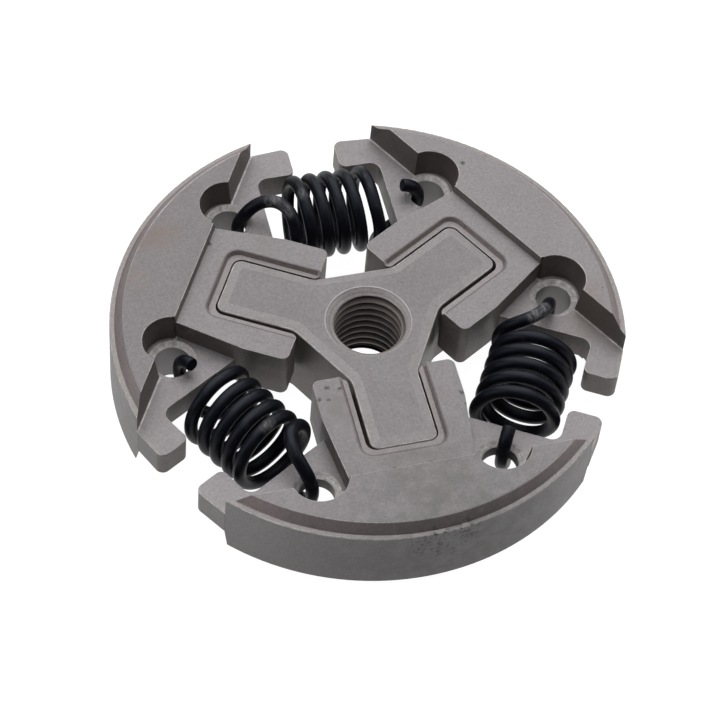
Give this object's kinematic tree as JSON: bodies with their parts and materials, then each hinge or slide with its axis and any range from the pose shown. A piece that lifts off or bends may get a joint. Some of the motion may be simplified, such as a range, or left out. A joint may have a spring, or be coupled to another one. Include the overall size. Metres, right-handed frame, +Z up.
{
  "type": "centrifugal clutch",
  "caption": "Centrifugal clutch for a chainsaw: arc-shaped shoes slide out along the arms of a threaded hub, against hooked tension springs, and press on a drum.",
  "frame": {"origin": "on the axis of the threaded bore, at the hub's lower face", "axes": "+Z up along the bore axis, towards the face with the shoes' raised rims; -Y through the middle of the front shoe"},
  "size_m": [0.0652, 0.0642, 0.0136],
  "materials": {
    "hub": "matt sintered steel",
    "shoe": "matt sintered steel",
    "spring": "black spring wire, half gloss"
  },
  "bodies": {
    "hub": {"hub": "hub"},
    "shoe_right": {"shoe_right": "shoe"},
    "shoe_left": {"shoe_left": "shoe"},
    "shoe_front": {"shoe_front": "shoe"},
    "spring_rear": {"spring_rear": "spring"},
    "spring_left": {"spring_left": "spring"},
    "spring_right": {"spring_right": "spring"}
  },
  "joints": [
    {"name": "shoe_right_slide", "type": "slide", "parent": "hub", "child": "shoe_right", "axis": [0.866, 0.5, 0], "range_m": [0, 0.0015], "stiffness_N_per_m": 167000, "springref_m": -0.0021},
    {"name": "shoe_left_slide", "type": "slide", "parent": "hub", "child": "shoe_left", "axis": [-0.866, 0.5, 0], "range_m": [0, 0.0015]},
    {"name": "shoe_front_slide", "type": "slide", "parent": "hub", "child": "shoe_front", "axis": [0, -1, 0], "range_m": [0, 0.0015]},
    {"name": "spring_rear_stretch", "type": "slide", "parent": "shoe_left", "child": "spring_rear", "axis": [1, 0, 0], "range_m": [0, 0.0026], "deforming": ["spring_rear"]},
    {"name": "spring_left_stretch", "type": "slide", "parent": "shoe_front", "child": "spring_left", "axis": [-0.5, 0.866, 0], "range_m": [0, 0.0026], "deforming": ["spring_left"]},
    {"name": "spring_right_stretch", "type": "slide", "parent": "shoe_right", "child": "spring_right", "axis": [-0.5, -0.866, 0], "range_m": [0, 0.0026], "deforming": ["spring_right"]}
  ],
  "couplings": [
    {"joint": "shoe_left_slide", "follows": "shoe_right_slide", "ratio": 1},
    {"joint": "shoe_front_slide", "follows": "shoe_right_slide", "ratio": 1},
    {"joint": "spring_rear_stretch", "follows": "shoe_right_slide", "ratio": 1.7321},
    {"joint": "spring_left_stretch", "follows": "shoe_right_slide", "ratio": 1.7321},
    {"joint": "spring_right_stretch", "follows": "shoe_right_slide", "ratio": 1.7321}
  ]
}
